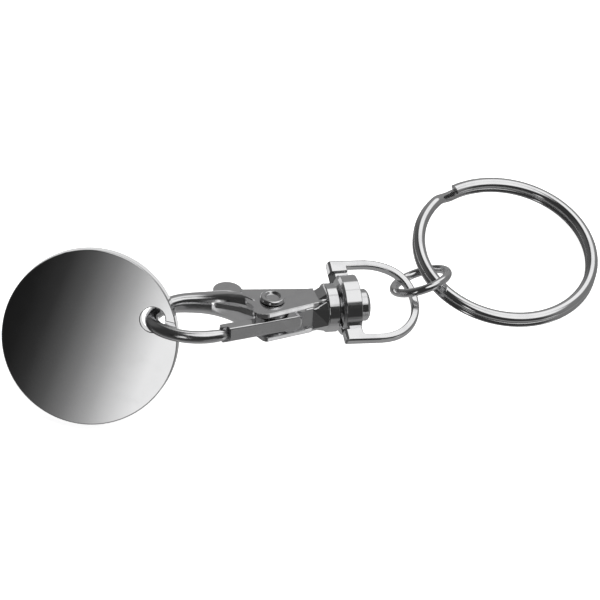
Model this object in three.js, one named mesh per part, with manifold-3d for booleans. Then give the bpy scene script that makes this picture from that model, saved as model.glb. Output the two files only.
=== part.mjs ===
// Trolley coin keyring: a coin-sized chip on a trigger snap hook, with a swivel eye,
// a jump ring and a double split ring, lying on a table as it was put down.
// Units are millimetres, +Z is up, and the table is the plane Z = 0.
// The clasp has its own frame: +x runs along the swivel axis towards the eye, x = 0 is the
// end face of the barrel, y runs across the hook towards its back and z is square to it.
import * as THREE from 'three';
import { mergeVertices } from 'three/addons/utils/BufferGeometryUtils.js';
import Module from 'manifold-3d';

const wasm = await Module();
wasm.setup();

// Coin chip
const coinDiameter = 23.25;
const coinThickness = 2.2;
const coinChamfer = 0.15;
const coinRimWall = 1.28;
const coinHang = 0.16;

// Hook body
const hookReach = 24.7;
const hookHalfSpan = 4.6;
const armWidth = 2.7;
const armDepth = 2.7;
const noseDiameter = 1.75;
const cheekLength = 12.4;
const cheekHalfWidth = 3.4;
const bodyDepth = 4.4;
const cheekGap = 3.1;
const forkGap = 1.5;
const neckWall = 4.7;
const barrelDiameter = 6.4;
const barrelLength = 1.6;
const barrelChamfer = 0.3;
const neckLength = 1.9;

// Trigger lever
const leverDepth = 2.2;
const gateWidth = 1.6;
const gateEndWidth = 1.7;
const hubDiameter = 4.6;
const tabThickness = 1.0;
const tabRadius = 1.95;
const tabRise = 7.25;

// Lever rivet and spring
const rivetDiameter = 1.6;
const rivetHeadDiameter = 3.3;
const rivetHeadHeight = 0.8;
const rivetTailDiameter = 2.6;
const rivetTailHeight = 0.5;
const rivetDimple = 0.2;
const springWire = 0.28;
const springTurns = 2;
const springTurnGap = 0.44;

// Swivel rivet
const studDiameter = 2.6;
const studDepth = 1.2;
const studHeadDiameter = 4.2;
const studHeadHeight = 1.35;

// Swivel eye
const eyeWidth = 12.95;
const eyeDepth = 10.75;
const eyeWire = 1.35;
const eyeBaseLength = 2.5;
const eyeBaseDepth = 1.4;
const eyeBossDiameter = 7.8;
const eyeBossChamfer = 0.6;
const eyeHang = 0.22;

// Jump ring and split ring
const jumpWire = 1.15;
const jumpInner = 6.2;
const jumpHang = 0.38;
const splitOuter = 24.6;
const splitWireWidth = 1.5;
const splitWireHeight = 0.76;
const splitTurnGap = 0.42;

// Clearances
const runningGap = 0.15;
const swivelPlay = 0.3;
const seatGap = 0.12;
const noseGap = 0.2;
const swivelGap = 0.35;
const cutOverrun = 1;

// Angles in degrees: how the pieces lie
const claspYaw = 11.9;
const claspPitch = 8.68;
const claspRoll = -19.5;
const eyeSpin = 20.55;
const coinTurn = -13.95;
const coinPitch = -22.3;
const coinLean = 65.29;
const jumpSeatAngle = 20.41;
const jumpYaw = 16.92;
const jumpPitch = -7.77;
const jumpRoll = -41.5;
const splitYaw = 8.35;
const splitPitch = 8.05;
const splitRoll = 39.69;
const splitJoggleAngle = 106;
const splitJoggleSpan = 15.6;
const splitEndSpan = 2.6;

// Facets
const coinSteps = 72;
const holeSteps = 24;
const turnedSteps = 32;
const wireSides = 8;
const armSides = 12;
const armSubsteps = 3;
const socketSteps = 9;
const ringSteps = 40;
const splitStepsPerTurn = 60;
const springSteps = 24;
const springSides = 6;

// Form exponents: 2 is round, a larger one is squarer
const roundCorner = 2;
const ringCorner = 3;
const eyeCorner = 3.2;
const gateCorner = 5;
const bowCorner = 2.2;

// Shares
// The hook's centre line from its root, round the bend to the nose. A place along the hook is
// a share of the cheeks' length and a share of the arm's reach beyond them, and a place across
// it is a share of the half span. Arm rows give the section's width and depth.
const armRowShares = [
  { cheek: 0.88, reach: 0, y: 0.22, width: 0.96, depth: 1.56, corner: 4 },
  { cheek: 1, reach: 0.016, y: 0.41, width: 1, depth: 1.54, corner: 4 },
  { cheek: 1, reach: 0.163, y: 0.6, width: 1, depth: 1.28, corner: 4 },
  { cheek: 1, reach: 0.317, y: 0.72, width: 0.93, depth: 1.04, corner: 4 },
  { cheek: 1, reach: 0.48, y: 0.79, width: 0.82, depth: 0.97, corner: 3.6 },
  { cheek: 1, reach: 0.643, y: 0.805, width: 0.74, depth: 0.92, corner: 3.2 },
];
// The rest of the line is round wire: its size is a share of the nose's diameter
const noseRowShares = [
  { cheek: 1, reach: 0.785, y: 0.715, size: 1.16, corner: 2.6 },
  { cheek: 1, reach: 0.91, y: 0.48, size: 1.07, corner: 2.3 },
  { cheek: 1, reach: 0.984, y: 0.18, size: 1.02, corner: 2 },
  { cheek: 1, reach: 1, y: -0.12, size: 1, corner: 2 },
  { cheek: 1, reach: 0.956, y: -0.42, size: 0.98, corner: 2 },
  { cheek: 1, reach: 0.849, y: -0.71, size: 0.98, corner: 2 },
  { cheek: 1, reach: 0.699, y: -0.915, size: 0.97, corner: 2 },
  { cheek: 1, reach: 0.528, y: -1, size: 0.97, corner: 2 },
  { cheek: 1, reach: 0.377, y: -0.98, size: 0.95, corner: 2 },
  { cheek: 1, reach: 0.269, y: -0.935, size: 0.77, corner: 2 },
];
const coinSeatRow = 8.1;
const noseStartRow = 13;
const coinHolePlayShare = 0.7;
// The cheeks' outlines: shares of the cheek's length and half width
const upperCheekShares = [
  [-0.2, 0.43],
  [-0.996, 0.78],
  [-0.99, -0.17],
  [-0.952, -0.36],
  [-0.94, -0.55],
  [-0.968, -0.76],
  [-0.9, -0.91],
  [-0.81, -1],
  [-0.2, -0.4],
];
const lowerCheekShares = [
  [-0.2, 0.43],
  [-0.996, 0.78],
  [-0.99, -0.17],
  [-0.9, -0.6],
  [-0.84, -0.93],
  [-0.81, -1],
  [-0.2, -0.4],
];
// The pivot, the gate's centre line and the thumb tab, in the same shares as the cheek
const pivotShare = { x: -0.71, y: -0.12 };
const gateRowShares = [
  { cheek: 1, reach: 0.316, y: -1.19, width: 0.86 },
  { cheek: 1, reach: 0.16, y: -1.125, width: 0.9 },
  { cheek: 0.97, reach: 0, y: -0.99, width: 0.85 },
  { cheek: 0.7, reach: 0, y: -0.8, width: 0.84 },
  { cheek: 0.46, reach: 0, y: -0.66, width: 0.8 },
  { cheek: 0.43, reach: 0, y: -0.64, width: 0.55 },
];
const tabRootShares = [
  { cheek: 0.855, reach: 0, y: -0.18 },
  { cheek: 0.64, reach: 0, y: 0.5 },
  { cheek: 0.77, reach: 0, y: 0.94 },
];
const tabFootShares = [
  { cheek: 1, reach: 0.232, y: 1.14 },
  { cheek: 1, reach: 0.04, y: 0.44 },
];
const forkStartShare = { cheek: 1, reach: 0.3125 };
// Where the split ring's wire crosses the jump ring's plane, in shares of the inner radius
const crossingShare = { x: 0.4896, y: 0.0198 };
const domeShare = 0.55;

const degrees = Math.PI / 180;
const fullTurn = 360;
const holeRadius = (noseDiameter + coinHolePlayShare * coinThickness) / 2;
const coinHoleOffset = coinDiameter / 2 - coinRimWall - holeRadius;
const barrelRadius = barrelDiameter / 2;
const neckRadius = bodyDepth / 2;
const pivot = new THREE.Vector2(pivotShare.x * cheekLength, pivotShare.y * cheekHalfWidth);

// Shape tools

function solidOf(geometry) {
  const bare = geometry.clone();
  bare.deleteAttribute('normal');
  bare.deleteAttribute('uv');
  const merged = mergeVertices(bare);
  return new wasm.Manifold(new wasm.Mesh({
    numProp: 3,
    vertProperties: new Float32Array(merged.attributes.position.array),
    triVerts: new Uint32Array(merged.index.array),
  }));
}

function geometryOf(solid) {
  const mesh = solid.getMesh();
  const geometry = new THREE.BufferGeometry();
  geometry.setAttribute('position', new THREE.BufferAttribute(mesh.vertProperties.slice(), 3));
  geometry.setIndex(new THREE.BufferAttribute(mesh.triVerts.slice(), 1));
  const faceted = geometry.toNonIndexed();
  faceted.computeVertexNormals();
  return faceted;
}

// A skin over rings of points. Each ring turns right-handed about the way the rings run.
function loft(rings, closed = false) {
  const sides = rings[0].length;
  const positions = rings.flat().flatMap((point) => [point.x, point.y, point.z]);
  const faces = [];
  const runs = closed ? rings.length : rings.length - 1;
  for (let run = 0; run < runs; run += 1) {
    const here = run * sides;
    const there = ((run + 1) % rings.length) * sides;
    for (let side = 0; side < sides; side += 1) {
      const next = (side + 1) % sides;
      faces.push(here + side, here + next, there + next);
      faces.push(here + side, there + next, there + side);
    }
  }
  if (!closed) {
    const last = (rings.length - 1) * sides;
    for (let side = 1; side < sides - 1; side += 1) {
      faces.push(0, side + 1, side);
      faces.push(last, last + side, last + side + 1);
    }
  }
  const geometry = new THREE.BufferGeometry();
  geometry.setAttribute('position', new THREE.Float32BufferAttribute(positions, 3));
  geometry.setIndex(faces);
  const faceted = geometry.toNonIndexed();
  faceted.computeVertexNormals();
  return faceted;
}

// A section with rounded corners: an exponent of 2 is an ellipse, a larger one is squarer
function section(width, depth, corner, sides) {
  const points = [];
  for (let side = 0; side < sides; side += 1) {
    const angle = ((side + 0.5) / sides) * 2 * Math.PI;
    const across = Math.sign(Math.cos(angle)) * Math.abs(Math.cos(angle)) ** (2 / corner);
    const up = Math.sign(Math.sin(angle)) * Math.abs(Math.sin(angle)) ** (2 / corner);
    points.push(new THREE.Vector2((across * width) / 2, (up * depth) / 2));
  }
  return points;
}

// A section stood square to a level line at a point of it
function ringAt(point, tangent, outline) {
  const across = new THREE.Vector3(-tangent.y, tangent.x, 0).normalize();
  return outline.map((p) => point.clone()
    .addScaledVector(across, p.x)
    .add(new THREE.Vector3(0, 0, p.y)));
}

function tableValue(table, key, share) {
  const place = share * (table.length - 1);
  const low = Math.min(Math.floor(place), table.length - 2);
  return THREE.MathUtils.lerp(table[low][key], table[low + 1][key], place - low);
}

// A place along the hook, from its shares of the cheeks' length and of the arm's reach
function alongHook(row) {
  return -(row.cheek * cheekLength + row.reach * (hookReach - cheekLength));
}

function levelLine(table, ySize) {
  return new THREE.CatmullRomCurve3(
    table.map((row) => new THREE.Vector3(alongHook(row), row.y * ySize, 0)),
    false,
    'centripetal',
  );
}

// A plate between two heights, from an outline of [x, y] points
function plate(points, low, high) {
  const shape = new THREE.Shape(points.map(([x, y]) => new THREE.Vector2(x, y)));
  const geometry = new THREE.ExtrudeGeometry(shape, { depth: high - low, bevelEnabled: false });
  geometry.translate(0, 0, low);
  return geometry;
}

function cylinderZ(radius, low, high, place, steps = turnedSteps) {
  const geometry = new THREE.CylinderGeometry(radius, radius, high - low, steps);
  geometry.rotateX(90 * degrees);
  geometry.translate(place.x, place.y, (low + high) / 2);
  return geometry;
}

// A turned piece whose profile is [along, radius] pairs, on the x axis
function turnedX(profile, steps = turnedSteps) {
  const geometry = new THREE.LatheGeometry(
    profile.map(([along, radius]) => new THREE.Vector2(radius, along)),
    steps,
  );
  geometry.rotateZ(-90 * degrees);
  return geometry;
}

function turnedZ(profile, place, steps = turnedSteps) {
  const geometry = new THREE.LatheGeometry(
    profile.map(([along, radius]) => new THREE.Vector2(radius, along)),
    steps,
  );
  geometry.rotateX(90 * degrees);
  geometry.translate(place.x, place.y, 0);
  return geometry;
}

// The least gap of a wound wire to itself, between the rings that are a turn or more apart
function leastGap(rings, ringsApart) {
  let least = Infinity;
  for (let a = 0; a < rings.length; a += 1) {
    for (let b = a + ringsApart; b < rings.length; b += 1) {
      for (const p of rings[a]) {
        for (const q of rings[b]) least = Math.min(least, p.distanceTo(q));
      }
    }
  }
  return least;
}

// Finishes

const finishes = {
  mirror: { color: 0xe8e8ea, roughness: 0.06, metalness: 1 },
  castPlate: { color: 0xc9cacc, roughness: 0.18, metalness: 1 },
  springSteel: { color: 0xa9abae, roughness: 0.3, metalness: 1 },
};

function part(name, geometry, finish) {
  const mesh = new THREE.Mesh(geometry, new THREE.MeshStandardMaterial(finishes[finish]));
  mesh.name = name;
  return mesh;
}

// Coin: a plain disc with chamfered edges and a hole near its rim. Its x axis runs from the
// centre to the hole, and its middle plane is z = 0.

function coinGeometry() {
  const half = coinThickness / 2;
  const radius = coinDiameter / 2;
  const disc = solidOf(turnedZ([
    [-half, 0],
    [-half, radius - coinChamfer],
    [coinChamfer - half, radius],
    [half - coinChamfer, radius],
    [half, radius - coinChamfer],
    [half, 0],
  ], { x: 0, y: 0 }, coinSteps));
  const flare = holeRadius + coinChamfer + cutOverrun;
  const hole = solidOf(turnedZ([
    [-half - cutOverrun, 0],
    [-half - cutOverrun, flare],
    [coinChamfer - half, holeRadius],
    [half - coinChamfer, holeRadius],
    [half + cutOverrun, flare],
    [half + cutOverrun, 0],
  ], { x: coinHoleOffset, y: 0 }, holeSteps));
  return geometryOf(disc.subtract(hole));
}

// Hook body: cheeks, forked back arm, round nose, neck and barrel in one casting

const hookRows = [
  ...armRowShares.map((row) => ({
    ...row,
    width: row.width * armWidth,
    depth: row.depth * armDepth,
  })),
  ...noseRowShares.map((row) => ({
    ...row,
    width: row.size * noseDiameter,
    depth: row.size * noseDiameter,
  })),
];
const hookLine = levelLine(hookRows, hookHalfSpan);
const lastRow = hookRows.length - 1;

function hookLoop() {
  const steps = lastRow * armSubsteps;
  const rings = [];
  for (let step = 0; step <= steps; step += 1) {
    const share = step / steps;
    const outline = section(
      tableValue(hookRows, 'width', share),
      tableValue(hookRows, 'depth', share),
      tableValue(hookRows, 'corner', share),
      armSides,
    );
    rings.push(ringAt(hookLine.getPoint(share), hookLine.getTangent(share), outline));
  }
  return solidOf(loft(rings));
}

// Both cheeks run through the room of the slot, which is cut out of them later
function cheekBlock() {
  const place = ([x, y]) => [x * cheekLength, y * cheekHalfWidth];
  const upper = plate(upperCheekShares.map(place), -cheekGap / 2, bodyDepth / 2);
  const lower = plate(lowerCheekShares.map(place), -bodyDepth / 2, cheekGap / 2);
  return solidOf(upper).add(solidOf(lower));
}

function neckAndBarrel() {
  return solidOf(turnedX([
    [-barrelLength - neckLength, 0],
    [-barrelLength - neckLength, neckRadius - barrelChamfer],
    [-barrelLength - neckLength / 2, (neckRadius + barrelRadius) / 2],
    [-barrelLength, barrelRadius],
    [-barrelChamfer, barrelRadius],
    [0, barrelRadius - barrelChamfer],
    [0, 0],
  ]));
}

// The slot that the lever works in: as wide as the gap between the cheeks, and narrower
// where it runs out into the back arm
function leverSlot() {
  const reach = hookHalfSpan + cheekHalfWidth + cutOverrun;
  const slice = (x, gap) => [
    new THREE.Vector3(x, reach, -gap / 2),
    new THREE.Vector3(x, reach, gap / 2),
    new THREE.Vector3(x, -reach, gap / 2),
    new THREE.Vector3(x, -reach, -gap / 2),
  ];
  return solidOf(loft([
    slice(alongHook(forkStartShare), forkGap),
    slice(-cheekLength, cheekGap),
    slice(-neckWall, cheekGap),
  ]));
}

// The nose lies left of the slot's start, but the slot's front half would cut it
function slotBehindNose() {
  const reach = hookHalfSpan + cheekHalfWidth + cutOverrun;
  const noseGuard = plate([
    [-hookReach, -reach * 2],
    [-cheekLength - cutOverrun, -reach * 2],
    [-cheekLength - cutOverrun, -cheekHalfWidth / 2],
    [-hookReach, -cheekHalfWidth / 2],
  ], -bodyDepth, bodyDepth);
  return leverSlot().subtract(solidOf(noseGuard));
}

function hookBodyGeometry() {
  const pivotHole = cylinderZ(rivetDiameter / 2 + seatGap, -bodyDepth, bodyDepth, pivot, holeSteps);
  const studHole = turnedX([
    [-studDepth - seatGap, 0],
    [-studDepth - seatGap, studDiameter / 2 + seatGap],
    [cutOverrun, studDiameter / 2 + seatGap],
    [cutOverrun, 0],
  ], holeSteps);
  return geometryOf(hookLoop()
    .add(cheekBlock())
    .add(neckAndBarrel())
    .subtract(slotBehindNose())
    .subtract(solidOf(pivotHole))
    .subtract(solidOf(studHole)));
}

// Trigger lever: gate bar, hub drum with a pocket for the spring, and thumb tab

const gateLine = levelLine(gateRowShares, cheekHalfWidth);
const springCoilHeight = springTurns * (springWire + springTurnGap) + springWire;
const springCoilRadius = rivetDiameter / 2 + runningGap + springWire;
const pocketRadius = springCoilRadius + springWire;
const hubDepth = cheekGap - 2 * runningGap;

function gateBar() {
  const steps = (gateRowShares.length - 1) * armSubsteps;
  const rings = [];
  for (let step = 0; step <= steps; step += 1) {
    const share = step / steps;
    const size = tableValue(gateRowShares, 'width', share);
    const width = THREE.MathUtils.lerp(gateEndWidth, gateWidth, share) * size;
    const outline = section(width, leverDepth * Math.sqrt(size), gateCorner, wireSides * 2);
    rings.push(ringAt(gateLine.getPoint(share), gateLine.getTangent(share), outline));
  }
  return solidOf(loft(rings));
}

// The room that the nose takes in the gate's end, open towards the front
function noseSocket() {
  const radius = hookRows[noseStartRow].width / 2 + noseGap;
  const outline = section(2 * radius, 2 * radius, roundCorner, armSides);
  const rings = [];
  for (let step = 0; step <= socketSteps; step += 1) {
    const share = THREE.MathUtils.lerp(noseStartRow / lastRow, 1, step / socketSteps);
    rings.push(ringAt(hookLine.getPoint(share), hookLine.getTangent(share), outline));
  }
  const tip = hookLine.getPoint(1);
  const round = new THREE.SphereGeometry(radius, armSides, armSides / 2);
  round.translate(tip.x, tip.y, tip.z);
  const channel = solidOf(loft(rings)).add(solidOf(round));
  const front = channel.translate([0, -radius / 2, 0]);
  return channel.add(front).add(channel.translate([0, -radius, 0]));
}

function thumbTab() {
  const centre = new THREE.Vector2(
    alongHook(tabFootShares[0]) + tabRadius,
    tabRise - tabRadius,
  );
  const place = (row) => [alongHook(row), row.y * cheekHalfWidth];
  const outline = tabRootShares.map(place);
  const arcSteps = turnedSteps / 2;
  for (let step = 0; step <= arcSteps; step += 1) {
    const angle = (step / arcSteps) * Math.PI;
    outline.push([
      centre.x + tabRadius * Math.cos(angle),
      centre.y + tabRadius * Math.sin(angle),
    ]);
  }
  outline.push(...tabFootShares.map(place));
  return solidOf(plate(outline, -tabThickness / 2, tabThickness / 2));
}

function leverGeometry() {
  const hub = cylinderZ(hubDiameter / 2, -hubDepth / 2, hubDepth / 2, pivot);
  const bore = cylinderZ(rivetDiameter / 2 + runningGap, -bodyDepth, bodyDepth, pivot, holeSteps);
  const pocketHalf = springCoilHeight / 2 + runningGap;
  const pocket = cylinderZ(pocketRadius + runningGap, -pocketHalf, pocketHalf, pivot, holeSteps);
  const window = plate([
    [pivot.x, pivot.y - pocketRadius],
    [pivot.x + hubDiameter, pivot.y - pocketRadius],
    [pivot.x + hubDiameter, pivot.y + pocketRadius],
    [pivot.x, pivot.y + pocketRadius],
  ], -pocketHalf, pocketHalf);
  return geometryOf(gateBar()
    .add(solidOf(hub))
    .add(thumbTab())
    .subtract(solidOf(bore))
    .subtract(solidOf(pocket))
    .subtract(solidOf(window))
    .subtract(noseSocket()));
}

// Lever rivet: factory head on top, peened tail below

function leverRivetGeometry() {
  const shank = rivetDiameter / 2;
  const head = rivetHeadDiameter / 2;
  const tail = rivetTailDiameter / 2;
  const top = bodyDepth / 2 + seatGap;
  const crown = top + rivetHeadHeight;
  const bottom = -bodyDepth / 2 - seatGap;
  return turnedZ([
    [bottom - rivetTailHeight, 0],
    [bottom - rivetTailHeight, tail * domeShare],
    [bottom - rivetTailHeight * domeShare, tail],
    [bottom, tail],
    [bottom, shank],
    [top, shank],
    [top, head],
    [top + rivetHeadHeight * domeShare, head],
    [crown, head - rivetHeadHeight * (1 - domeShare)],
    [crown, head * domeShare],
    [crown - rivetDimple, head * domeShare - rivetDimple],
    [crown - rivetDimple, 0],
  ], pivot, holeSteps);
}

// Lever spring: a short torsion coil round the rivet, one leg on the neck, one on the gate

function springRings() {
  const pitch = springWire + springTurnGap;
  const height = springTurns * pitch;
  const steps = springSteps * springTurns;
  const outline = section(springWire, springWire, roundCorner, springSides);
  const point = (share) => {
    const angle = -90 * degrees + share * springTurns * 2 * Math.PI;
    return new THREE.Vector3(
      pivot.x + springCoilRadius * Math.cos(angle),
      pivot.y + springCoilRadius * Math.sin(angle),
      share * height - height / 2,
    );
  };
  const coil = [];
  for (let step = 0; step <= steps; step += 1) {
    const angle = -90 * degrees + (step / steps) * springTurns * 2 * Math.PI;
    const tangent = new THREE.Vector3(-Math.sin(angle), Math.cos(angle), 0);
    coil.push(ringAt(point(step / steps), tangent, outline));
  }
  console.log('lever spring least gap to itself', leastGap(coil, springSteps / 2).toFixed(3));
  const along = new THREE.Vector3(1, 0, 0);
  const firstLeg = point(0).setX(pivot.x - springCoilRadius * domeShare);
  const lastLeg = point(1).setX(-neckWall - springWire);
  return [ringAt(firstLeg, along, outline), ...coil, ringAt(lastLeg, along, outline)];
}

// Swivel stud: headed inside the eye, pressed into the barrel

function swivelRivetGeometry() {
  const shank = studDiameter / 2;
  const head = studHeadDiameter / 2;
  const seat = swivelGap + eyeBaseLength + seatGap;
  return turnedX([
    [-studDepth, 0],
    [-studDepth, shank],
    [seat, shank],
    [seat, head],
    [seat + studHeadHeight * domeShare, head],
    [seat + studHeadHeight * (1 + domeShare) / 2, head * (1 + domeShare) / 2],
    [seat + studHeadHeight, head * domeShare],
    [seat + studHeadHeight, 0],
  ], holeSteps);
}

// Swivel eye: a base block with a round boss, and a bow

const bowRadius = eyeWidth / 2 - eyeWire / 2;
const bowCentre = swivelGap + eyeDepth - eyeWidth / 2;

// A point of the bow's centre line: a half ring, a little squarer than a circle
function bowPoint(angle) {
  const across = Math.sin(angle);
  const along = Math.cos(angle);
  const size = (Math.abs(across) ** bowCorner + Math.abs(along) ** bowCorner) ** (-1 / bowCorner);
  return new THREE.Vector3(
    bowCentre + bowRadius * along * size,
    bowRadius * across * size,
    0,
  );
}

function eyeBow() {
  const root = swivelGap + eyeBaseLength / 2;
  const outline = section(eyeWire, eyeWire, eyeCorner, armSides);
  const arcSteps = ringSteps / 2;
  const points = [new THREE.Vector3(root, -bowRadius, 0)];
  for (let step = 0; step <= arcSteps; step += 1) {
    points.push(bowPoint((step / arcSteps - 1 / 2) * Math.PI));
  }
  points.push(new THREE.Vector3(root, bowRadius, 0));
  const rings = points.map((point, index) => {
    const before = points[Math.max(index - 1, 0)];
    const after = points[Math.min(index + 1, points.length - 1)];
    return ringAt(point, after.clone().sub(before).normalize(), outline);
  });
  return solidOf(loft(rings));
}

function eyeGeometry() {
  const low = swivelGap;
  const high = swivelGap + eyeBaseLength;
  const boss = turnedX([
    [low, 0],
    [low, eyeBossDiameter / 2 - eyeBossChamfer],
    [low + eyeBossChamfer, eyeBossDiameter / 2],
    [high, eyeBossDiameter / 2],
    [high, 0],
  ]);
  const ears = new THREE.BoxGeometry(eyeBaseLength, eyeWidth, eyeBaseDepth);
  ears.translate((low + high) / 2, 0, 0);
  const bore = turnedX([
    [-cutOverrun, 0],
    [-cutOverrun, studDiameter / 2 + swivelPlay],
    [high + cutOverrun, studDiameter / 2 + swivelPlay],
    [high + cutOverrun, 0],
  ], holeSteps);
  return geometryOf(solidOf(boss)
    .add(solidOf(ears))
    .add(eyeBow())
    .subtract(solidOf(bore)));
}

// Jump ring

const jumpRadius = (jumpInner + jumpWire) / 2;

function circleRings(radius, steps, outline) {
  const rings = [];
  for (let step = 0; step < steps; step += 1) {
    const angle = (step / steps) * 2 * Math.PI;
    const point = new THREE.Vector3(radius * Math.cos(angle), radius * Math.sin(angle), 0);
    rings.push(ringAt(point, new THREE.Vector3(-Math.sin(angle), Math.cos(angle), 0), outline));
  }
  return rings;
}

function jumpRingGeometry() {
  const outline = section(jumpWire, jumpWire, roundCorner, wireSides);
  return loft(circleRings(jumpRadius, ringSteps, outline), true);
}

// Split ring: two turns of flat wire with one joggle, where the upper turn dives under its own
// first end to become the lower turn

const splitRadius = (splitOuter - splitWireWidth) / 2;

function splitRingRings() {
  const outline = section(splitWireWidth, splitWireHeight, ringCorner, armSides);
  const layer = (splitWireHeight + splitTurnGap) / 2;
  const firstEnd = splitJoggleAngle - splitJoggleSpan / 2 - splitEndSpan;
  const joggleStart = splitJoggleAngle + splitJoggleSpan / 2 - fullTurn;
  const joggleEnd = joggleStart - splitJoggleSpan;
  const lastEnd = joggleStart + splitEndSpan - fullTurn;
  const steps = 2 * splitStepsPerTurn;
  const rings = [];
  for (let step = 0; step <= steps; step += 1) {
    const turned = THREE.MathUtils.lerp(firstEnd, lastEnd, step / steps);
    const drop = THREE.MathUtils.smoothstep(-turned, -joggleStart, -joggleEnd);
    const angle = turned * degrees;
    const point = new THREE.Vector3(
      splitRadius * Math.cos(angle),
      splitRadius * Math.sin(angle),
      layer * (1 - 2 * drop),
    );
    rings.push(ringAt(point, new THREE.Vector3(Math.sin(angle), -Math.cos(angle), 0), outline));
  }
  console.log('split ring least gap to itself', leastGap(rings, splitStepsPerTurn / 2).toFixed(3));
  return rings;
}

// Assembly

function turned(group, yaw, pitch, roll) {
  group.rotation.set(roll * degrees, pitch * degrees, yaw * degrees, 'ZYX');
  return group;
}

function buildCoin() {
  const group = turned(new THREE.Group(), coinTurn, coinPitch, coinLean);
  const seat = hookLine.getPoint(coinSeatRow / lastRow);
  seat.x += coinHang;
  const toHole = new THREE.Vector3(coinHoleOffset, 0, 0).applyEuler(group.rotation);
  group.position.copy(seat).sub(toHole);
  group.add(part('coin', coinGeometry(), 'mirror'));
  return group;
}

function buildSplitRing() {
  const group = turned(new THREE.Group(), splitYaw, splitPitch, splitRoll);
  const toCentre = new THREE.Vector3(splitRadius, 0, 0).applyEuler(group.rotation);
  group.position.set(crossingShare.x, crossingShare.y, 0).multiplyScalar(jumpInner / 2).add(toCentre);
  group.add(part('split_ring', loft(splitRingRings()), 'castPlate'));
  return group;
}

function buildJumpRing() {
  const group = turned(new THREE.Group(), jumpYaw, jumpPitch, jumpRoll);
  const seat = bowPoint(jumpSeatAngle * degrees);
  const slack = jumpInner / 2 - eyeWire / 2 - jumpHang;
  group.position.copy(seat).add(new THREE.Vector3(slack, 0, 0).applyEuler(group.rotation));
  group.add(part('jump_ring', jumpRingGeometry(), 'castPlate'), buildSplitRing());
  return group;
}

function buildEye() {
  const group = turned(new THREE.Group(), 0, 0, eyeSpin);
  group.position.set(0, eyeHang, 0).applyEuler(group.rotation);
  group.add(part('swivel_eye', eyeGeometry(), 'castPlate'), buildJumpRing());
  return group;
}

function buildClasp() {
  const group = turned(new THREE.Group(), claspYaw, claspPitch, claspRoll);
  group.add(
    part('hook_body', hookBodyGeometry(), 'castPlate'),
    part('trigger_lever', leverGeometry(), 'castPlate'),
    part('lever_rivet', leverRivetGeometry(), 'castPlate'),
    part('lever_spring', loft(springRings()), 'springSteel'),
    part('swivel_rivet', swivelRivetGeometry(), 'castPlate'),
    buildCoin(),
    buildEye(),
  );
  return group;
}

const group = new THREE.Group();
group.add(buildClasp());
group.updateMatrixWorld(true);
const box = new THREE.Box3().setFromObject(group, true);
group.position.set(-(box.min.x + box.max.x) / 2, -(box.min.y + box.max.y) / 2, -box.min.z);

export default group;
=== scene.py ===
"""Looks for the trolley coin keyring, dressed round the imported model.

Each sub-assembly is a class. Its sizes are fields in millimetres, in the piece's own frame, and
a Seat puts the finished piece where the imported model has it, in metres. In the clasp's frame +x
runs along the swivel axis to the eye, x = 0 is the barrel's end, y runs across the hook towards
its back and z is square to it.
"""
import logging
import math
from contextlib import contextmanager
from dataclasses import dataclass
from enum import Enum
from typing import Callable, Iterator, Sequence

import bmesh
import bpy
from mathutils import Matrix, Vector


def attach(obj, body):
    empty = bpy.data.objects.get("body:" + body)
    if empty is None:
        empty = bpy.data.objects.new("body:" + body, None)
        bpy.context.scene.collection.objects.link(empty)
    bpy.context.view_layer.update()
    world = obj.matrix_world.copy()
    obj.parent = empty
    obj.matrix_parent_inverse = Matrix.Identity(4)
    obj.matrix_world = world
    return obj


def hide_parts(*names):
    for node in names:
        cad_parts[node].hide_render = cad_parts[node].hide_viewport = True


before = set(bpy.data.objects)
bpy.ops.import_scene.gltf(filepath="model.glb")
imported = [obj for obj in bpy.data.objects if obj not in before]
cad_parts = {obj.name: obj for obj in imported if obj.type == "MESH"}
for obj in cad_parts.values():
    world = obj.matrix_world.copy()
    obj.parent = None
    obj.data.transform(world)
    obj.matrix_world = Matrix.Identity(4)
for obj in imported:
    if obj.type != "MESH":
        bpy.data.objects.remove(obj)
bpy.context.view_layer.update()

logging.basicConfig(level=logging.INFO, format="%(message)s")
log = logging.getLogger("keyring")

MILLIMETRE = 0.001
# Edges sharper than this are rounded or shaded apart: in general, and on turned pieces
SHARP_ANGLE = 35.0
TURNED_ANGLE = 20.0
# Cuts this far from a wire's end keep the end crisp when the wire is subdivided
CRISP_CUTS = (0.02, 0.06)
Point2 = tuple[float, float]
Point3 = tuple[float, float, float]


class Body(Enum):
    """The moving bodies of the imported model."""

    CLASP = "clasp"
    LEVER = "lever"
    CHIP = "chip"
    EYE = "eye"
    LINK = "link"
    RING = "ring"


class Slot(Enum):
    """The record's material slots."""

    COIN = "coin_mirror"
    CAST = "cast_plate"
    SPRING = "spring_steel"
    RING = "ring_plate"


@dataclass(frozen=True)
class Seat:
    """Where a piece's own frame sits in the model: origin in millimetres and two axes."""

    origin: Point3
    along: Point3
    up: Point3

    def matrix(self) -> Matrix:
        """Gives the transform from the piece's millimetres to the model's metres.

        Returns:
            The 4 by 4 matrix, with the scale in it.
        """
        x_axis = Vector(self.along).normalized()
        z_axis = (Vector(self.up) - Vector(self.up).dot(x_axis) * x_axis).normalized()
        turn = Matrix((x_axis, z_axis.cross(x_axis), z_axis)).transposed().to_4x4()
        place = Matrix.Translation(Vector(self.origin) * MILLIMETRE)
        return place @ turn @ Matrix.Scale(MILLIMETRE, 4)


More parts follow.
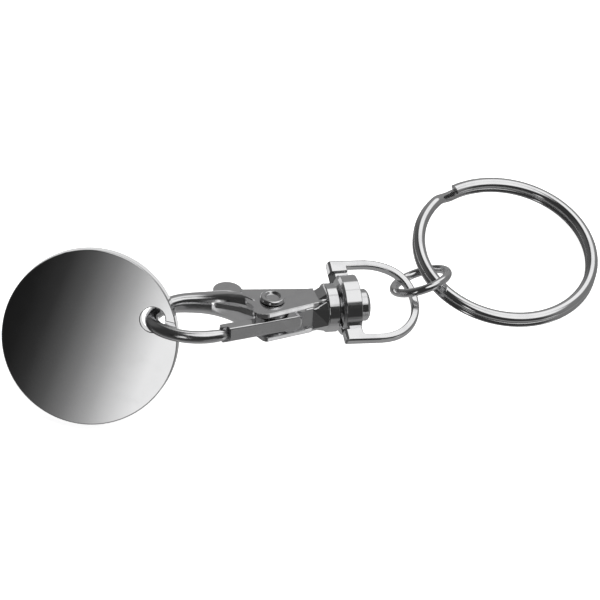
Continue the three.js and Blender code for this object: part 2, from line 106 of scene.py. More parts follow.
SWIVEL_AXIS = (0.9673, 0.20384, -0.15092)
CLASP_SEAT = Seat((4.61342, -4.8944, 8.10312), SWIVEL_AXIS, (0.07037, 0.35597, 0.93185))
EYE_SEAT = Seat((4.56866, -4.67904, 8.1071), SWIVEL_AXIS, (0.15143, 0.01318, 0.98838))
COIN_SEAT = Seat(
    (-27.41069, -10.23102, 9.01735), (0.94961, 0.11469, 0.29168), (-0.12802, -0.70753, 0.69499),
)
JUMP_SEAT = Seat(
    (15.76382, 0.37744, 6.60421), (0.87873, 0.47729, -0.00421), (-0.29086, 0.54245, 0.78813),
)
SPLIT_SEAT = Seat(
    (26.85906, 6.81563, 4.21551), (0.84717, 0.49102, -0.20299), (0.18678, 0.08245, 0.97894),
)


# Shaping tools


def deselect() -> None:
    """Clears the selection, so that an operator acts on nothing by accident."""
    if bpy.context.object and bpy.context.object.mode != "OBJECT":
        bpy.ops.object.mode_set(mode="OBJECT")
    bpy.ops.object.select_all(action="DESELECT")


def activate(piece: bpy.types.Object) -> None:
    """Selects one object alone and makes it active.

    Args:
        piece: The object that the next operators act on.
    """
    deselect()
    piece.select_set(True)
    bpy.context.view_layer.objects.active = piece


def place_mesh(piece: bpy.types.Object, matrix: Matrix) -> None:
    """Moves a piece and puts the move into its mesh.

    Args:
        piece: The mesh object.
        matrix: The transform.
    """
    activate(piece)
    piece.matrix_world = matrix
    bpy.ops.object.transform_apply(location=True, rotation=True, scale=True)


@contextmanager
def editing(piece: bpy.types.Object) -> Iterator[bmesh.types.BMesh]:
    """Opens a piece in edit mode for as long as the block runs.

    Args:
        piece: The mesh object to edit.

    Yields:
        The edit mesh, for selecting by place or normal.
    """
    activate(piece)
    bpy.ops.object.mode_set(mode="EDIT")
    yield bmesh.from_edit_mesh(piece.data)
    bpy.ops.object.mode_set(mode="OBJECT")


def choose(piece: bpy.types.Object, test: Callable[[Vector], bool]) -> None:
    """Selects the vertices that pass a test on their place, and nothing else.

    Args:
        piece: The mesh object, in edit mode.
        test: Takes a vertex's place and says whether it is wanted.
    """
    bpy.ops.mesh.select_mode(type="VERT")
    mesh = bmesh.from_edit_mesh(piece.data)
    for vertex in mesh.verts:
        vertex.select_set(bool(test(vertex.co)))
    mesh.select_flush_mode()


def apply_modifier(piece: bpy.types.Object, kind: str, **values: object) -> None:
    """Adds one modifier, sets it and applies it.

    Args:
        piece: The mesh object.
        kind: Blender's name of the modifier's type.
        **values: The modifier's settings.
    """
    activate(piece)
    modifier = piece.modifiers.new(kind.lower(), kind)
    for name, value in values.items():
        setattr(modifier, name, value)
    bpy.ops.object.modifier_apply(modifier=modifier.name)


def combine(piece: bpy.types.Object, tool: bpy.types.Object, operation: str = "UNION") -> None:
    """Joins a solid to a piece, or cuts it out with DIFFERENCE, and removes the solid."""
    apply_modifier(piece, "BOOLEAN", object=tool, operation=operation, solver="EXACT")
    bpy.data.objects.remove(tool)


def soften(
    piece: bpy.types.Object, width: float, angle: float = SHARP_ANGLE, segments: int = 3,
    clamp: bool = False,
) -> None:
    """Rounds the sharp edges of a piece.

    Args:
        piece: The mesh object.
        width: How far the rounding reaches from the edge.
        angle: The least angle of an edge that counts as sharp, in degrees.
        segments: How many strips the rounding has.
        clamp: Whether the rounding is held back where edges are short.
    """
    with editing(piece):
        bpy.ops.mesh.select_all(action="SELECT")
        bpy.ops.mesh.remove_doubles(threshold=0.004)
        bpy.ops.mesh.dissolve_limited(angle_limit=0.01)
    apply_modifier(
        piece, "BEVEL", width=width, segments=segments, limit_method="ANGLE",
        angle_limit=math.radians(angle), use_clamp_overlap=clamp,
    )


def tidy_mesh(piece: bpy.types.Object) -> None:
    """Merges doubled points and turns every face outwards.

    Args:
        piece: The mesh object.
    """
    with editing(piece):
        bpy.ops.mesh.select_all(action="SELECT")
        bpy.ops.mesh.remove_doubles(threshold=0.0005)
        bpy.ops.mesh.normals_make_consistent(inside=False)


def close_seams(piece: bpy.types.Object, merge: float = 0.002) -> None:
    """Removes the slivers that a Boolean leaves and closes their holes.

    Args:
        piece: The mesh object.
        merge: Points and edges smaller than this go.
    """
    with editing(piece):
        bpy.ops.mesh.select_all(action="SELECT")
        bpy.ops.mesh.remove_doubles(threshold=merge)
        bpy.ops.mesh.dissolve_degenerate(threshold=merge)
        bpy.ops.mesh.select_all(action="SELECT")
        bpy.ops.mesh.fill_holes(sides=6)


def turned(name: str, profile: Sequence[Point2], sides: int) -> bpy.types.Object:
    """Turns a solid on the x axis from a disc that is extruded and resized step by step.

    Args:
        name: The object's name.
        profile: (place along x, radius) of each step, every radius above zero.
        sides: How many sides the solid has.

    Returns:
        The closed solid.
    """
    deselect()
    start, radius = profile[0]
    bpy.ops.mesh.primitive_circle_add(
        vertices=sides, radius=radius, fill_type="NGON", location=(start, 0, 0),
        rotation=(0, math.pi / 2, 0),
    )
    piece = bpy.context.object
    piece.name = name
    bpy.ops.object.transform_apply()
    with editing(piece):
        bpy.ops.mesh.select_all(action="SELECT")
        for (here, old), (there, new) in zip(profile, profile[1:]):
            step = {"value": (there - here, 0, 0)}
            bpy.ops.mesh.extrude_region_move(TRANSFORM_OT_translate=step)
            if new != old:
                share = new / old
                bpy.ops.transform.resize(value=(1, share, share), center_override=(there, 0, 0))
    tidy_mesh(piece)
    return piece


def stand_up(piece: bpy.types.Object, centre: Point2 = (0.0, 0.0)) -> bpy.types.Object:
    """Turns a piece from the x axis to the z axis, with its axis then at the centre."""
    place_mesh(piece, Matrix.Translation((*centre, 0.0)) @ Matrix.Rotation(-math.pi / 2, 4, "Y"))
    return piece


def upright_pin(
    name: str, depth: float, diameter: float, centre: Point2, sides: int = 48,
) -> bpy.types.Object:
    """Makes a round pin that stands at the centre, half of its depth on each side of z = 0."""
    profile = ((-depth / 2, diameter / 2), (depth / 2, diameter / 2))
    return stand_up(turned(name, profile, sides), centre)


def reshape(
    piece: bpy.types.Object, above: float, old: Sequence[Point2], new: Sequence[Point2],
) -> None:
    """Moves the highest corners of a piece in edit mode to a new outline.

    Args:
        piece: The mesh object.
        above: The height that those corners lie above.
        old: The outline that they have.
        new: The outline that they get.
    """
    mesh = bmesh.from_edit_mesh(piece.data)
    high = [(vertex.index, vertex.co.xy) for vertex in mesh.verts if vertex.co.z > above]
    found = [min(high, key=lambda item: (item[1] - Vector(corner)).length)[0] for corner in old]
    for index, (x, y), (to_x, to_y) in zip(found, old, new):
        bpy.ops.mesh.select_all(action="DESELECT")
        mesh = bmesh.from_edit_mesh(piece.data)
        mesh.verts.ensure_lookup_table()
        mesh.verts[index].select_set(True)
        bpy.ops.transform.translate(value=(to_x - x, to_y - y, 0))


def lofted(
    name: str, rings: Sequence[Sequence[Point2]], heights: Sequence[float],
) -> bpy.types.Object:
    """Makes a solid from a disc whose corners are moved to an outline, extruded ring by ring.

    Args:
        name: The object's name.
        rings: The outline at each height, all with as many corners.
        heights: The rings' heights, rising.

    Returns:
        The closed solid.
    """
    deselect()
    bpy.ops.mesh.primitive_circle_add(
        vertices=len(rings[0]), radius=1, fill_type="NGON", location=(0, 0, heights[0]),
    )
    piece = bpy.context.object
    piece.name = name
    bpy.ops.object.transform_apply()
    with editing(piece) as mesh:
        reshape(piece, heights[0] - 1.0, [tuple(vertex.co.xy) for vertex in mesh.verts], rings[0])
        bpy.ops.mesh.select_all(action="SELECT")
        for old, new, here, there in zip(rings, rings[1:], heights, heights[1:]):
            step = {"value": (0, 0, there - here)}
            bpy.ops.mesh.extrude_region_move(TRANSFORM_OT_translate=step)
            if new != old:
                reshape(piece, (here + there) / 2, old, new)
                choose(piece, lambda place: place.z > (here + there) / 2)
    tidy_mesh(piece)
    return piece


def outlined(name: str, outline: Sequence[Point2], low: float, high: float) -> bpy.types.Object:
    """Makes a closed plate with the outline's corners between two heights."""
    return lofted(name, (outline, outline), (low, high))


def lay_along(piece: bpy.types.Object) -> None:
    """Turns a piece's z axis to x, its x to y and its y to z."""
    place_mesh(piece, Matrix(((0, 0, 1, 0), (1, 0, 0, 0), (0, 1, 0, 0), (0, 0, 0, 1))))
    tidy_mesh(piece)


def mirrored(quarter: Sequence[Point2]) -> list[Point2]:
    """Completes an outline from its first quarter, which has all its points above zero."""
    right = [*quarter, *((x, -y) for x, y in reversed(quarter))]
    return [*right, *((-x, y) for x, y in reversed(right))]


# A swept bar's control ring: its side, corner and top points as shares of half width and depth
ROUND_RING = ((1.068, 0.0), (0.864, 0.628), (0.33, 1.016))
CAST_RING = ((1.07, 0.0), (0.86, 0.76), (0.4, 1.06))


@dataclass(frozen=True)
class Station:
    """A place on a swept bar: its point, its section's size and how cast its shape is."""

    point: Point3
    width: float
    depth: float
    cast: float = 0.0

    def ring(self) -> list[Point2]:
        """Gives the control ring.

        Returns:
            Its ten points.
        """
        sizes = []
        for (across, high), (wide, tall) in zip(ROUND_RING, CAST_RING):
            y = across + (wide - across) * self.cast
            z = high + (tall - high) * self.cast
            sizes.append((y * self.width / 2, z * self.depth / 2))
        upper = [*sizes, *((-y, z) for y, z in reversed(sizes))]
        return [*upper, *((-y, -z) for y, z in upper[1:-1])]


def smooth_line(points: Sequence[Point3], steps: int = 12) -> tuple[list[Vector], list[float]]:
    """Runs a smooth line through points, with even strength at uneven distances.

    Args:
        points: The points that the line passes.
        steps: How many pieces each span is cut into.

    Returns:
        The line's points, and the distance along it of each given point.
    """
    given = [Vector(p) for p in points]
    ends = [2 * given[0] - given[1], *given, 2 * given[-1] - given[-2]]
    line = [given[0].copy()]
    marks = [0.0]
    run = 0.0
    for p0, p1, p2, p3 in zip(ends, ends[1:], ends[2:], ends[3:]):
        k1, k2, k3 = (max((b - a).length, 1e-6) ** 0.5 for a, b in ((p0, p1), (p1, p2), (p2, p3)))
        t1 = ((p1 - p0) / k1 - (p2 - p0) / (k1 + k2) + (p2 - p1) / k2) * k2
        t2 = ((p2 - p1) / k2 - (p3 - p1) / (k2 + k3) + (p3 - p2) / k3) * k2
        for step in range(1, steps + 1):
            t = step / steps
            a, b = 2 * p1 - 2 * p2 + t1 + t2, -3 * p1 + 3 * p2 - 2 * t1 - t2
            place = ((a * t + b) * t + t1) * t + p1
            run += (place - line[-1]).length
            line.append(place)
        marks.append(run)
    return line, marks


def bend(piece: bpy.types.Object, line: Sequence[Vector]) -> None:
    """Bends a straight bar on the x axis along a line, with its top kept up.

    Args:
        piece: The straight bar.
        line: The points that its middle follows.
    """
    data = bpy.data.curves.new("bending_line", "CURVE")
    data.dimensions = "3D"
    data.twist_mode = "Z_UP"
    spline = data.splines.new("POLY")
    spline.points.add(len(line) - 1)
    for point, place in zip(spline.points, line):
        point.co = (*place, 1.0)
    guide = bpy.data.objects.new("bending_line", data)
    bpy.context.scene.collection.objects.link(guide)
    apply_modifier(piece, "CURVE", object=guide, deform_axis="POS_X")
    bpy.data.objects.remove(guide)
    bpy.data.curves.remove(data)


def bent_bar(bar: bpy.types.Object, line: Sequence[Vector], levels: int) -> bpy.types.Object:
    """Lays a standing bar on the x axis, rounds it and bends it along a line.

    Args:
        bar: The bar, standing on z = 0.
        line: The points that its middle follows.
        levels: How many times it is subdivided.

    Returns:
        The same bar.
    """
    lay_along(bar)
    apply_modifier(bar, "SUBSURF", levels=levels, render_levels=levels)
    bend(bar, line)
    tidy_mesh(bar)
    return bar


def swept(name: str, stations: Sequence[Station], levels: int = 2) -> bpy.types.Object:
    """Makes a bent bar whose section changes from station to station.

    Args:
        name: The object's name.
        stations: The bar's stations from end to end.
        levels: How many times the bar is subdivided.

    Returns:
        The closed bar.
    """
    line, marks = smooth_line([station.point for station in stations])
    bar = lofted(name, [station.ring() for station in stations], marks)
    return bent_bar(bar, line, levels)


def drawn(
    name: str, section: Sequence[Point2], line: Sequence[Vector], count: int,
) -> bpy.types.Object:
    """Makes a bent wire of one section, with crisp ends.

    Args:
        name: The object's name.
        section: The control points of the wire's outline, across and up.
        line: The points that the wire's middle follows.
        count: How many pieces the wire is extruded in.

    Returns:
        The closed wire.
    """
    length = sum((b - a).length for a, b in zip(line, line[1:]))
    inner = [length / count * step for step in range(1, count)]
    near, far = CRISP_CUTS
    places = [0.0, near, far, *inner, length - far, length - near, length]
    return bent_bar(lofted(name, [section] * len(places), places), line, 2)


def finish_piece(
    piece: bpy.types.Object, seat: Seat, body: Body, node: str,
    material: bpy.types.Material, level_faces: bool,
) -> None:
    """Seats a piece, shades it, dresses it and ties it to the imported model.

    Args:
        piece: The mesh object.
        seat: Where its frame sits.
        body: The body it moves with.
        node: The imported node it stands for.
        material: Its material.
        level_faces: Whether large faces keep their own flat shading.
    """
    close_seams(piece)
    activate(piece)
    bpy.ops.object.shade_smooth_by_angle(angle=math.radians(SHARP_ANGLE))
    if level_faces:
        # Done while the mesh is in millimetres, because areas in metres are too small for it
        apply_modifier(
            piece, "WEIGHTED_NORMAL", mode="FACE_AREA", weight=100, thresh=0.0, keep_sharp=True,
        )
    place_mesh(piece, seat.matrix())
    piece.data.materials.clear()
    piece.data.materials.append(material)
    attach(piece, body.value)
    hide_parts(node)
    log.info("%s: %d faces", piece.name, len(piece.data.polygons))


# Finishes


class NodeSketch:
    """A short way to lay nodes in a tree and join them."""

    def __init__(self, tree: bpy.types.NodeTree) -> None:
        """Keeps the tree that the nodes go into."""
        self.tree = tree

    def add(self, kind: str, **values: object) -> bpy.types.Node:
        """Adds a node and sets its properties.

        Args:
            kind: The node's type, such as ShaderNodeBump.
            **values: Properties of the node.

        Returns:
            The new node.
        """
        node = self.tree.nodes.new(kind)
        for name, value in values.items():
            setattr(node, name, value)
        return node

    def feed(self, target: bpy.types.NodeSocket, source: object) -> None:
        """Gives a socket a value or joins another socket to it.

        Args:
            target: The input socket.
            source: An output socket, or a plain value.
        """
        if isinstance(source, bpy.types.NodeSocket):
            self.tree.links.new(source, target)
        else:
            target.default_value = source

    def fill(self, node: bpy.types.Node, inputs: dict[object, object]) -> None:
        """Feeds a node's inputs, each given by its name or number."""
        for key, source in inputs.items():
            self.feed(node.inputs[key], source)

    def use(
        self, kind: str, inputs: dict[object, object], output: object = 0, **values: object,
    ) -> bpy.types.NodeSocket:
        """Adds a node, feeds its inputs and gives one of its outputs.

        Args:
            kind: The node's type.
            inputs: A value or socket for each input, by its name or number.
            output: The output's name or number.
            **values: Properties of the node.

        Returns:
            The output's socket.
        """
        node = self.add(kind, **values)
        self.fill(node, inputs)
        return node.outputs[output]

    def math(self, operation: str, first: object, second: object) -> bpy.types.NodeSocket:
        """Adds a math node on two values or sockets."""
        return self.use("ShaderNodeMath", {0: first, 1: second}, operation=operation)

    def rise(
        self, value: object, low: float, high: float, shape: str = "SMOOTHSTEP",
    ) -> bpy.types.NodeSocket:
        """Adds a step from 0 to 1 that a value makes between low and high."""
        inputs = dict(enumerate((value, low, high, 0.0, 1.0)))
        return self.use("ShaderNodeMapRange", inputs, interpolation_type=shape)

    def blend(self, share: object, first: object, second: object) -> bpy.types.NodeSocket:
        """Blends two grey tones, the second by its share."""
        return self.use("ShaderNodeMix", {0: share, 2: first, 3: second}, data_type="FLOAT")

    def noise(self, place: object, scale: object, detail: float) -> bpy.types.NodeSocket:
        """Adds a noise and gives its strength."""
        inputs = {"Vector": place, "Scale": scale, "Detail": detail}
        return self.use("ShaderNodeTexNoise", inputs, "Fac")

    def ramp(self, value: object, stops: Sequence[Point2]) -> bpy.types.NodeSocket:
        """Adds a grey ramp.

        Args:
            value: The value or socket that runs along the ramp.
            stops: (place, grey) of each stop.

        Returns:
            The ramp's colour socket.
        """
        node = self.add("ShaderNodeValToRGB")
        elements = node.color_ramp.elements
        while len(elements) < len(stops):
            elements.new(0.5)
        for element, (place, grey) in zip(elements, stops):
            element.position = place
            element.color = (grey, grey, grey, 1.0)
        self.feed(node.inputs[0], value)
        return node.outputs[0]


Group = tuple[bpy.types.NodeTree, NodeSketch, bpy.types.Node, bpy.types.Node]


def new_group(name: str, inputs: Sequence[tuple[str, float]], outputs: Sequence[str]) -> Group:
    """Starts a shader node group with named sockets.

    Args:
        name: The group's name.
        inputs: (name, default) of each input.
        outputs: The name of each output.

    Returns:
        The group, a sketch of it, its input node and its output node.
    """
    group = bpy.data.node_groups.new(name, "ShaderNodeTree")
    new_socket = group.interface.new_socket
    for label, default in inputs:
        socket = new_socket(name=label, in_out="INPUT", socket_type="NodeSocketFloat")
        socket.default_value = default
    for label in outputs:
        new_socket(name=label, in_out="OUTPUT", socket_type="NodeSocketFloat")
    sketch = NodeSketch(group)
    return group, sketch, sketch.add("NodeGroupInput"), sketch.add("NodeGroupOutput")


def plating_group() -> bpy.types.NodeTree:
    """Builds the effect of plated metal that has been handled: ripple, haze and fine rubs.

    Returns:
        A group with the outputs Ripple, Haze and Rubs.
    """
    group, sketch, given, result = new_group(
        "handled_plating",
        (("Ripple Scale", 400.0), ("Haze Scale", 250.0), ("Rub Scale", 900.0)),
        ("Ripple", "Haze", "Rubs"),
    )
    place = sketch.use("ShaderNodeTexCoord", {}, "Object")
    ripple = sketch.noise(place, given.outputs["Ripple Scale"], 1.0)
    haze = sketch.noise(place, given.outputs["Haze Scale"], 4.0)
    stretched = sketch.use("ShaderNodeMapping", {
        "Vector": place, "Scale": (1.0, 9.0, 4.0), "Rotation": (0.3, 0.2, 0.5),
    })
    rubs = sketch.noise(stretched, given.outputs["Rub Scale"], 3.0)
    sketch.fill(result, {
        "Ripple": ripple, "Haze": sketch.rise(haze, 0.42, 0.7),
        "Rubs": sketch.rise(rubs, 0.6, 0.75),
    })
    return group


def edge_group() -> bpy.types.NodeTree:
    """Builds the mask of rubbed edges, where plating is polished by use.

    Returns:
        A group with the output Edge.
    """
    group, sketch, given, result = new_group("rubbed_edges", (("Reach", 0.53),), ("Edge",))
    bulge = sketch.use("ShaderNodeNewGeometry", {}, "Pointiness")
    over = sketch.math("SUBTRACT", bulge, given.outputs["Reach"])
    sketch.feed(result.inputs["Edge"], sketch.rise(over, 0.0, 0.08))
    return group


@dataclass(frozen=True)
class Plating:
    """A plated or bare metal finish."""

    name: str
    tone: Point3
    haze_tone: Point3
    roughness: float
    haze_roughness: float
    ripple_scale: float
    ripple: float
    haze_scale: float
    rub_scale: float
    rub: float

    def build(
        self, plating: bpy.types.NodeTree, edges: bpy.types.NodeTree,
    ) -> bpy.types.Material:
        """Builds the material.

        Args:
            plating: The group of handled plating.
            edges: The group of rubbed edges.

        Returns:
            The material.
        """
        material = bpy.data.materials.new(self.name)
        material.use_nodes = True
        sketch = NodeSketch(material.node_tree)
        shader = material.node_tree.nodes["Principled BSDF"]
        handled = sketch.add("ShaderNodeGroup", node_tree=plating)
        sketch.fill(handled, {
            "Ripple Scale": self.ripple_scale, "Haze Scale": self.haze_scale,
            "Rub Scale": self.rub_scale,
        })
        rubbed = sketch.use("ShaderNodeGroup", {}, "Edge", node_tree=edges)
        haze = sketch.math(
            "MULTIPLY", handled.outputs["Haze"], sketch.math("SUBTRACT", 1.0, rubbed),
        )
        tones = {0: haze, 6: (*self.tone, 1.0), 7: (*self.haze_tone, 1.0)}
        rough = sketch.math("MULTIPLY", haze, self.haze_roughness - self.roughness)
        rough = sketch.math("ADD", rough, self.roughness)
        scuffed = sketch.math("MULTIPLY", handled.outputs["Rubs"], self.rub)
        bump = {"Strength": 1.0, "Distance": self.ripple, "Height": handled.outputs["Ripple"]}
        sketch.fill(shader, {
            "Metallic": 1.0,
            "Base Color": sketch.use("ShaderNodeMix", tones, 2, data_type="RGBA"),
            "Roughness": sketch.math("ADD", rough, scuffed),
            "Normal": sketch.use("ShaderNodeBump", bump, "Normal"),
        })
        return material


FINISHES = {
    Slot.COIN: Plating(
        "polished_coin_plate", tone=(0.93, 0.93, 0.935), haze_tone=(0.9, 0.9, 0.905),
        roughness=0.03, haze_roughness=0.06, ripple_scale=160.0, ripple=2e-7,
        haze_scale=300.0, rub_scale=1500.0, rub=0.02,
    ),
    Slot.CAST: Plating(
        "plated_casting", tone=(0.9, 0.9, 0.905), haze_tone=(0.84, 0.84, 0.85),
        roughness=0.13, haze_roughness=0.2, ripple_scale=500.0, ripple=4e-6,
        haze_scale=420.0, rub_scale=1200.0, rub=0.04,
    ),
    Slot.RING: Plating(
        "plated_wire", tone=(0.91, 0.91, 0.915), haze_tone=(0.85, 0.85, 0.86),
        roughness=0.09, haze_roughness=0.15, ripple_scale=300.0, ripple=1.5e-6,
        haze_scale=380.0, rub_scale=1400.0, rub=0.04,
    ),
    Slot.SPRING: Plating(
        "drawn_spring_wire", tone=(0.66, 0.67, 0.68), haze_tone=(0.5, 0.5, 0.51),
        roughness=0.2, haze_roughness=0.34, ripple_scale=900.0, ripple=3e-6,
        haze_scale=700.0, rub_scale=1800.0, rub=0.08,
    ),
}


# Pieces


@dataclass
class CoinChip:
    """The coin-sized chip: a polished disc with a hole near its rim."""

    diameter: float = 23.2
    thickness: float = 2.14
    edge: float = 0.16
    hole_offset: float = 8.7
    hole_diameter: float = 3.29
    sides: int = 256
    hole_sides: int = 64

    def build(self) -> bpy.types.Object:
        """Cuts the hole out of a disc and rounds all its edges.

        Returns:
            The chip.
        """
        disc = upright_pin("coin_chip", self.thickness, self.diameter, (0.0, 0.0), self.sides)
        centre = (self.hole_offset, 0.0)
        drill = upright_pin(
            "drill", 2 * self.thickness, self.hole_diameter, centre, self.hole_sides,
        )
        combine(disc, drill, "DIFFERENCE")
        soften(disc, self.edge)
        return disc


PIVOT: Point2 = (-8.804, -0.408)


@dataclass
class HookCasting:
    """The hook body: cheeks, forked back arm, round nose, neck and barrel in one casting."""

    depth: float = 4.4
    gap: float = 3.1
    fork: float = 1.5
    fork_play: float = 1.006
    fork_end: float = -16.24
    cheek_end: float = -12.4
    wall: float = -4.7
    neck: float = -3.66
    barrel: float = -1.66
    barrel_diameter: float = 6.4
    # How far each end's edge is cut back along and inwards
    barrel_edges: tuple[Point2, ...] = ((0.12, 0.12), (0.2, 0.24))
    barrel_rounding: float = 0.05
    edge: float = 0.08
    # The rivet's bore: its depth and diameter
    pivot_bore: Point2 = (6.0, 1.84)
    # The stud's bore: (place, radius)
    bore: tuple[Point2, ...] = ((-1.32, 1.42), (1.0, 1.42))
    # How far the slot is cut to the front, between the cheeks and in the fork, and to the back
    slot_front: float = -9.0
    fork_front: float = -1.7
    slot_back: float = 9.0
    # The upper and the lower cheek's outline
    upper: tuple[Point2, ...] = (
        (-3.6, 1.6), (-12.35, 2.652), (-12.276, -0.578), (-11.94, -0.95), (-11.7, -1.45),
        (-11.72, -2.0), (-11.95, -2.45), (-11.9, -2.95), (-11.5, -3.35), (-10.9, -3.6),
        (-10.3, -3.72), (-9.9, -3.66), (-3.6, -1.98),
    )
    lower: tuple[Point2, ...] = (
        (-3.6, 1.6), (-12.35, 2.652), (-12.276, -0.578), (-11.16, -2.1), (-10.55, -3.35),
        (-10.2, -3.62), (-9.9, -3.66), (-3.6, -2.2),
    )
    # What is cut from the neck's front, behind the cheek's side: its outline and half depth
    face_cut: tuple[Point2, ...] = ((-4.9, -3.0), (-3.3, -3.0), (-3.3, -1.98), (-4.9, -1.98))
    face_cut_depth: float = 1.5
    # The neck's parts: where each ends, then its corners at the cheeks and at that end
    neck_parts: tuple[tuple[float, tuple[Point2, ...], tuple[Point2, ...]], ...] = (
        (-2.85, ((1.57, 2.19), (-1.9, 2.19), (-1.95, 2.14), (-1.96, -2.19), (1.58, -2.18)),
         ((1.57, 2.185), (-1.78, 2.18), (-1.83, 2.13), (-1.8, -2.17), (1.58, -2.17))),
        (-1.56, ((-0.5, 2.188), (-1.89, 2.188), (-1.965, 2.1), (-1.97, 1.25), (-0.5, 1.2)),
         ((-0.5, 2.15), (-1.34, 2.15), (-1.41, 2.06), (-1.41, 1.25), (-0.5, 1.2))),
        (-1.56, ((1.2, 1.5), (-1.2, 1.6), (-1.6, 1.4), (-1.94, 1.22), (-1.93, -1.9),
                 (-1.1, -2.1), (0.8, -1.9), (1.3, -1.2), (1.35, 0.6)),
         ((1.3, 2.78), (-0.95, 2.88), (-1.3, 1.95), (-2.7, 1.38), (-3.0, -0.8), (-1.9, -2.4),
          (0.6, -3.0), (2.6, -1.6), (2.9, 0.9))),
    )
    # Point across and along, then width, depth and cast share, from the root round to the nose
    arm: tuple[tuple[float, float, float, float, float], ...] = (
        (-10.7, -0.7, 0.9, 4.3, 0.0), (-11.35, 0.0, 1.9, 4.6, 0.0), (-12.4, 1.25, 2.6, 4.62, 0.2),
        (-13.4, 2.2, 2.75, 4.1, 0.6), (-14.7, 2.86, 2.7, 3.45, 1.0),
        (-16.4, 3.33, 2.511, 2.808, 1.0), (-18.304, 3.634, 2.214, 2.619, 1.0),
        (-20.309, 3.703, 1.998, 2.484, 0.8), (-22.056, 3.289, 2.03, 2.03, 0.5),
        (-23.593, 2.208, 1.873, 1.873, 0.2), (-24.58, 0.828, 1.8, 1.8, 0.0),
        (-24.8, -0.552, 1.8, 1.8, 0.0), (-24.22, -1.932, 1.74, 1.74, 0.0),
        (-22.843, -3.266, 1.715, 1.715, 0.0), (-20.998, -4.209, 1.698, 1.698, 0.0),
        (-18.894, -4.6, 1.698, 1.698, 0.0), (-17.037, -4.508, 1.663, 1.663, 0.0),
        (-15.709, -4.301, 1.348, 1.348, 0.0),
    )

    def build(self) -> bpy.types.Object:
        """Joins the cheeks, the arm and the barrel, and cuts the slot and the bores.

        Returns:
            The casting.
        """
        body = outlined("hook_casting", self.upper, -self.gap / 2, self.depth / 2)
        combine(body, outlined("under_cheek", self.lower, -self.depth / 2, self.gap / 2))
        combine(body, self.slot(self.slot_front), "DIFFERENCE")
        soften(body, self.edge)
        stations = [Station((x, y, 0), wide, deep, cast) for x, y, wide, deep, cast in self.arm]
        arm = swept("arm", stations, levels=3)
        fork = self.slot(self.fork_front)
        place_mesh(fork, Matrix.Scale(self.fork_play, 4, (0, 0, 1)))
        combine(arm, fork, "DIFFERENCE")
        combine(body, arm)
        depth = self.face_cut_depth
        combine(body, outlined("face_cut", self.face_cut, -depth, depth), "DIFFERENCE")
        for end, old, new in self.neck_parts:
            combine(body, self.neck_part(end, old, new))
        combine(body, self.barrel_ring())
        combine(body, upright_pin("pin_bore", *self.pivot_bore, PIVOT), "DIFFERENCE")
        combine(body, turned("stud_bore", self.bore, 48), "DIFFERENCE")
        return body

    def slot(self, front: float) -> bpy.types.Object:
        """Makes the room of the slot, wide between the cheeks and narrow in the fork.

        Args:
            front: How far it reaches to the nose's side.

        Returns:
            The solid to cut out.
        """
        back = self.slot_back
        tool = outlined("slot", (
            (self.fork_end, front), (self.cheek_end, front), (self.wall, front),
            (self.wall, back), (self.cheek_end, back), (self.fork_end, back),
        ), -self.gap / 2, self.gap / 2)
        with editing(tool):
            choose(tool, lambda place: place.x < self.fork_end + 0.01)
            share = self.fork / self.gap
            bpy.ops.transform.resize(value=(1, 1, share), center_override=(0, 0, 0))
        return tool

    def neck_part(
        self, end: float, old: Sequence[Point2], new: Sequence[Point2],
    ) -> bpy.types.Object:
        """Makes a part of the neck: a block whose section is drawn to another in facets.

        Args:
            end: Where the part ends along the swivel axis.
            old: The section's corners at the cheeks.
            new: The section's corners at its end.

        Returns:
            The solid.
        """
        block = lofted("neck", (old, new), (self.neck, end))
        lay_along(block)
        apply_modifier(block, "TRIANGULATE", quad_method="SHORTEST_DIAGONAL")
        tidy_mesh(block)
        return block

    def barrel_ring(self) -> bpy.types.Object:
        """Turns the barrel.

        Returns:
            The solid.
        """
        radius = self.barrel_diameter / 2
        (near, near_loss), (far, far_loss) = self.barrel_edges
        barrel = turned("barrel", (
            (self.barrel, radius - near_loss), (self.barrel + near, radius), (-far, radius),
            (0, radius - far_loss),
        ), 128)
        soften(barrel, self.barrel_rounding, TURNED_ANGLE, clamp=True)
        return barrel


